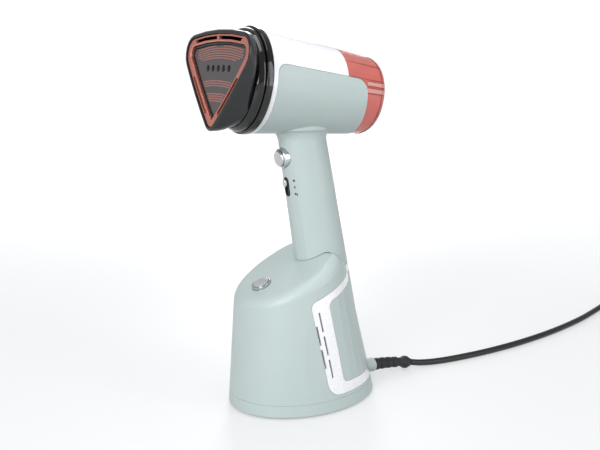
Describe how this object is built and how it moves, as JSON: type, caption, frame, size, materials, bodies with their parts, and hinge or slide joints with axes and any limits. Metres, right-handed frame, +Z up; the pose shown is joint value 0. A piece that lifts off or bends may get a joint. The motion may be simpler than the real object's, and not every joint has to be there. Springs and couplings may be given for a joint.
{
  "type": "handheld garment steamer",
  "caption": "Upright handheld garment steamer on its own base, with a triangular suction head, a clear rear water tank, a round trigger, a slide selector and a mains lead coiled behind it.",
  "frame": {"origin": "on the floor, in the middle of the appliance's box without its free cord", "axes": "+Z up, the steam head faces -Y, the cord leaves the base towards +Y, and +X is the appliance's left-right axis"},
  "size_m": [0.169, 0.7158, 0.3656],
  "materials": {
    "mint_abs": "fine satin, pale grey green",
    "silver_painted_abs": "satin silver lacquer over plastic",
    "white_abs": "smooth gloss",
    "gloss_black_abs": "high gloss",
    "satin_black_nylon": "satin",
    "rose_metal": "metallic rose lacquer",
    "grey_coated_plate": "smooth ceramic coating",
    "cast_aluminium": "as cast",
    "steel": "plain",
    "satin_chrome": "satin",
    "coral_clear_plastic": "clear, tinted coral",
    "grey_silicone": "matt",
    "black_rubber": "matt",
    "black_pvc": "satin flexible PVC",
    "circuit_board": "laminate"
  },
  "bodies": {
    "housing": {"base_shell": "mint_abs", "back_panel": "mint_abs", "bottom_cover": "mint_abs", "body_left": "mint_abs", "body_right": "mint_abs", "cord_gland": "mint_abs", "vent_frame": "silver_painted_abs", "top_cover": "white_abs", "collar_rear": "gloss_black_abs", "collar_front": "gloss_black_abs", "head_shell": "satin_black_nylon", "plate_sleeve": "satin_black_nylon", "rear_bulkhead": "satin_black_nylon", "water_pump": "satin_black_nylon", "fan_housing": "satin_black_nylon", "air_duct": "satin_black_nylon", "power_switch": "satin_black_nylon", "trigger_switch": "satin_black_nylon", "switch_track": "satin_black_nylon", "suction_ring": "rose_metal", "soleplate": "grey_coated_plate", "steam_chamber": "cast_aluminium", "thermostat": "cast_aluminium", "heater_element": "steel", "suction_motor": "steel", "trigger_spring": "steel", "power_spring": "steel", "base_screw_1": "steel", "base_screw_2": "steel", "base_screw_3": "steel", "base_screw_4": "steel", "plug_pin_1": "steel", "plug_pin_2": "steel", "power_bezel": "satin_chrome", "trigger_bezel": "satin_chrome", "chamber_gasket": "grey_silicone", "tank_seal": "grey_silicone", "inlet_hose": "grey_silicone", "outlet_hose": "grey_silicone", "motor_mount": "black_rubber", "rubber_foot_1": "black_rubber", "rubber_foot_2": "black_rubber", "rubber_foot_3": "black_rubber", "rubber_foot_4": "black_rubber", "strain_relief": "black_rubber", "cord_tie": "black_rubber", "plug_body": "black_rubber", "mains_cord": "black_pvc", "cord_tail": "black_pvc", "cord_coil": "black_pvc", "control_board": "circuit_board"},
    "trigger": {"trigger_button": "satin_chrome"},
    "selector": {"switch_knob": "satin_chrome"},
    "power": {"power_button": "silver_painted_abs"},
    "tank": {"water_tank": "coral_clear_plastic"},
    "filler_cap": {"tank_cap": "grey_silicone"},
    "fan_wheel": {"impeller": "satin_black_nylon"}
  },
  "joints": [
    {"name": "trigger_press", "type": "slide", "parent": "housing", "child": "trigger", "axis": [0, 0.988, 0.1541], "range_m": [0, 0.003], "stiffness_N_per_m": 600, "springref_m": -0.002},
    {"name": "selector_slide", "type": "slide", "parent": "housing", "child": "selector", "axis": [0, 0.1541, -0.988], "range_m": [0, 0.008]},
    {"name": "power_press", "type": "slide", "parent": "housing", "child": "power", "axis": [0, 0.3694, -0.9293], "range_m": [0, 0.0012], "stiffness_N_per_m": 900, "springref_m": -0.001},
    {"name": "tank_pull", "type": "slide", "parent": "housing", "child": "tank", "axis": [0, 0.9921, -0.1253], "range_m": [0, 0.05]},
    {"name": "cap_pull", "type": "slide", "parent": "tank", "child": "filler_cap", "axis": [-1, 0, 0], "range_m": [0, 0.012]},
    {"name": "fan_spin", "type": "hinge", "parent": "housing", "child": "fan_wheel", "pos_m": [0, -0.0076, 0.03], "axis": [0, 0, 1], "continuous": true}
  ]
}
